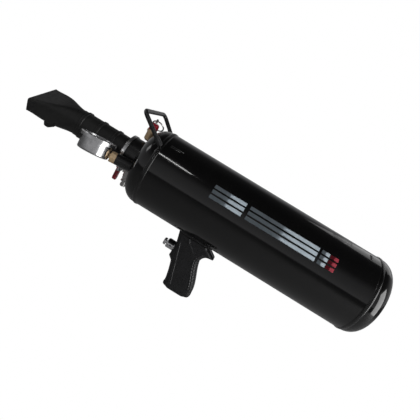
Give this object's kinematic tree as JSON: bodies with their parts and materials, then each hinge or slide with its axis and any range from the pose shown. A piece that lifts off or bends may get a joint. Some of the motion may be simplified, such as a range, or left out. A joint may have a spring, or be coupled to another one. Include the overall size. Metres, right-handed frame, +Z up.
{
  "type": "bead seater blaster tank",
  "caption": "Hand-held air tank with pistol grip, push trigger, flat duck-bill nozzle, pressure gauge, relief valve, fill valve and carrying handle, for seating tyre beads.",
  "frame": {"origin": "on the tank's axis, at the flat middle of the rear head", "axes": "+X along the tank's axis to the rear, +Z up, the grip hangs towards -Z, the nozzle points to -X"},
  "size_m": [0.743, 0.1713, 0.2858],
  "materials": {
    "tank_paint": "gloss",
    "black_steel": "satin",
    "stainless": "brushed",
    "nozzle_plastic": "matte",
    "grip_plastic": "satin",
    "brass": "satin",
    "red_enamel": "gloss",
    "gauge_steel": "polished",
    "nickel": "satin",
    "glass": "clear",
    "dial_face": "satin",
    "pointer_black": "satin",
    "seal_rubber": "matte",
    "spring_steel": "bright",
    "seat_plastic": "satin",
    "piston_plastic": "matte",
    "aluminium": "turned"
  },
  "bodies": {
    "tank": {"tank_shell": "tank_paint", "front_head": "tank_paint", "rear_head": "tank_paint", "front_weld_bead": "tank_paint", "rear_weld_bead": "tank_paint", "neck_pipe": "black_steel", "barrel_gasket": "seal_rubber", "barrel": "nozzle_plastic", "neck_band": "stainless", "band_screw": "stainless", "nozzle_head": "nozzle_plastic", "nozzle_screws": "black_steel", "dump_seat": "seat_plastic", "dump_cage": "aluminium", "dump_cylinder": "aluminium", "dump_spring": "spring_steel", "pilot_tube": "brass", "pilot_fitting": "brass", "pilot_pipe": "brass", "gauge_socket": "black_steel", "gauge_adapter": "brass", "gauge_stem": "brass", "gauge_case": "gauge_steel", "gauge_dial": "dial_face", "gauge_lens": "glass", "gauge_bezel": "gauge_steel", "bourdon_tube": "brass", "movement_plate": "brass", "safety_elbow": "brass", "safety_body": "brass", "safety_cap": "red_enamel", "safety_spring": "spring_steel", "fill_elbow": "nickel", "fill_valve_body": "nickel", "ball_seats": "seat_plastic", "quick_plug": "nickel", "carry_handle": "black_steel", "handle_pads": "black_steel", "grip_left": "grip_plastic", "grip_right": "grip_plastic", "grip_screws": "black_steel", "grip_saddle": "black_steel", "saddle_bolts": "black_steel", "trigger_body": "aluminium", "trigger_clip": "black_steel", "trigger_spring": "spring_steel"},
    "trigger": {"trigger_button": "aluminium", "trigger_stem": "aluminium"},
    "fill_handle": {"fill_lever": "red_enamel", "fill_stem": "nickel", "lever_nut": "nickel", "fill_ball": "nickel"},
    "needle": {"gauge_pointer": "pointer_black", "pointer_shaft": "brass"},
    "dump_plunger": {"dump_piston": "piston_plastic", "piston_seal": "seal_rubber"},
    "relief": {"safety_stem": "nickel", "safety_poppet": "seal_rubber"},
    "relief_ring": {"pull_ring": "nickel"}
  },
  "joints": [
    {"name": "trigger_press", "type": "slide", "parent": "tank", "child": "trigger", "axis": [1, 0, 0], "range_m": [0, 0.002], "stiffness_N_per_m": 900, "springref_m": -0.003, "deforming": ["trigger_spring"]},
    {"name": "fill_lever_turn", "type": "hinge", "parent": "tank", "child": "fill_handle", "pos_m": [-0.536, 0.038, -0.044], "axis": [1, 0, 0], "range_deg": [0, 90]},
    {"name": "needle_turn", "type": "hinge", "parent": "tank", "child": "needle", "pos_m": [-0.5823, -0.06385, -0.01097], "axis": [0.0569, -0.1465, -0.9876], "range_deg": [0, 270], "stiffness_Nm_per_rad": 0.002, "springref_deg": -28.65},
    {"name": "dump_slide", "type": "slide", "parent": "tank", "child": "dump_plunger", "axis": [1, 0, 0], "range_m": [0, 0.012], "stiffness_N_per_m": 400, "springref_m": -0.012, "deforming": ["dump_spring"]},
    {"name": "relief_pull", "type": "slide", "parent": "tank", "child": "relief", "axis": [0, 0, 1], "range_m": [0, 0.002], "stiffness_N_per_m": 2000, "springref_m": -0.003, "deforming": ["safety_spring"]},
    {"name": "ring_swing", "type": "hinge", "parent": "relief", "child": "relief_ring", "pos_m": [-0.523, 0, 0.079], "axis": [1, 0, 0], "range_deg": [0, 50]}
  ]
}
